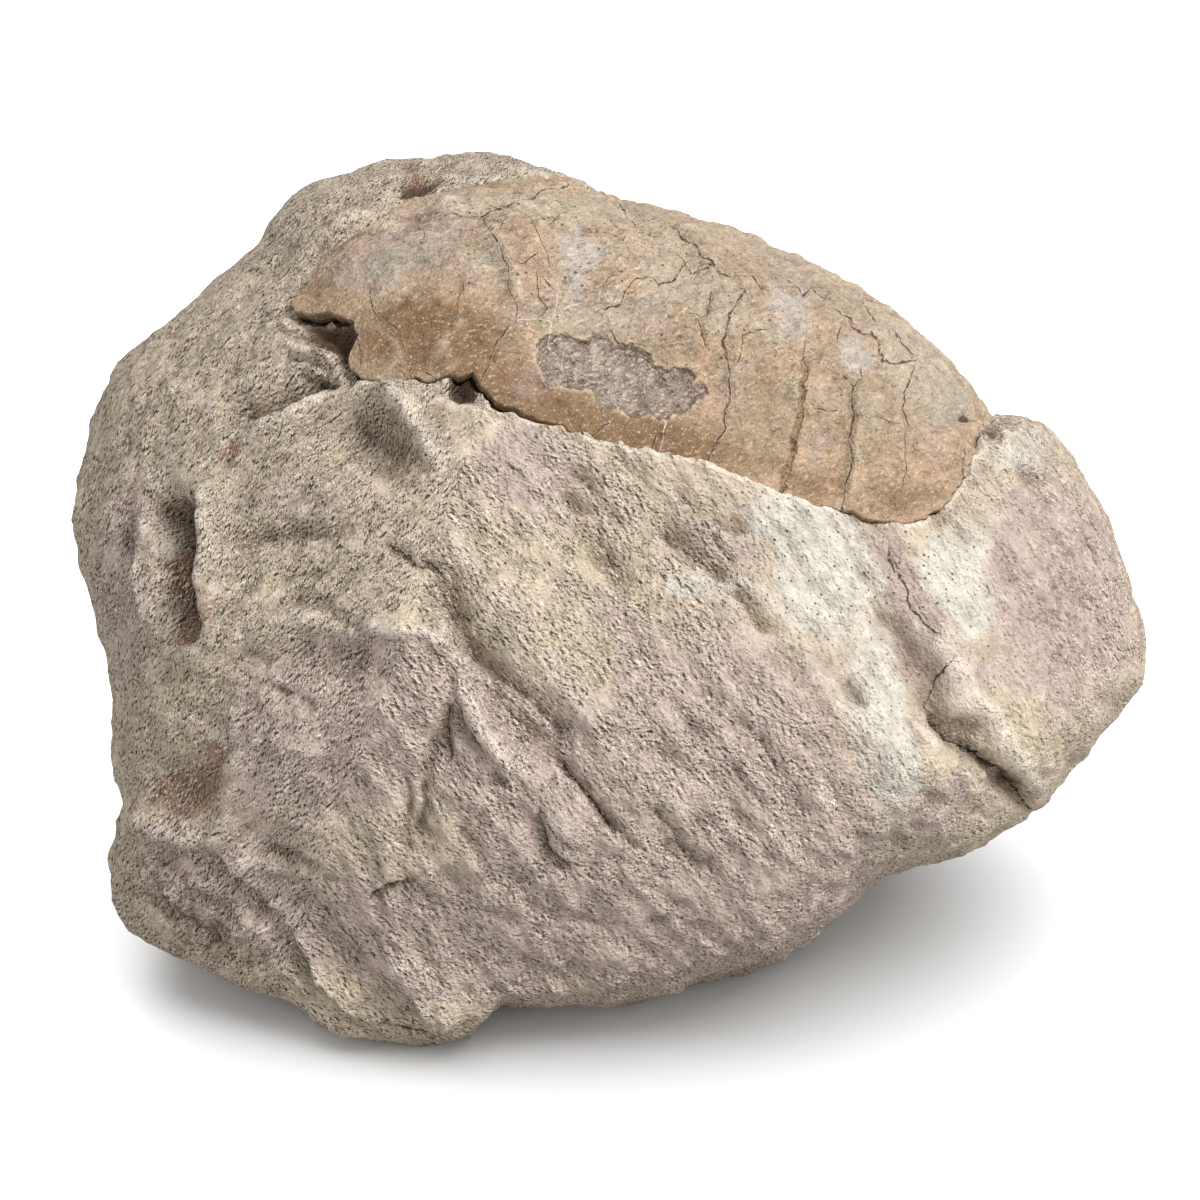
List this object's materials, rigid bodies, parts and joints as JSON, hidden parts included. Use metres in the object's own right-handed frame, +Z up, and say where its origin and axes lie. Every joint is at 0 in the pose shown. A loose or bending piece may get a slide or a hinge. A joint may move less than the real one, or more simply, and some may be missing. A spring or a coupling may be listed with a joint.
{
  "type": "fossil tortoise in matrix",
  "caption": "Broken block of pale siltstone with a domed fossil tortoise shell bedded in its top, standing on a flat base.",
  "frame": {"origin": "on the flat base under the middle of the block, where the rock rests", "axes": "+Z up, X along the block's width with the shell's low end at +X, -Y the front with the broken face"},
  "size_m": [0.303, 0.2114, 0.2038],
  "materials": {
    "siltstone": "matt, gritty, in beige, pinkish grey and pale green-grey patches",
    "fossil_bone": "matt to slightly silky tan bone with fine cracks and stripped patches"
  },
  "bodies": {
    "root": {"matrix": "siltstone", "carapace": "fossil_bone"}
  },
  "joints": []
}
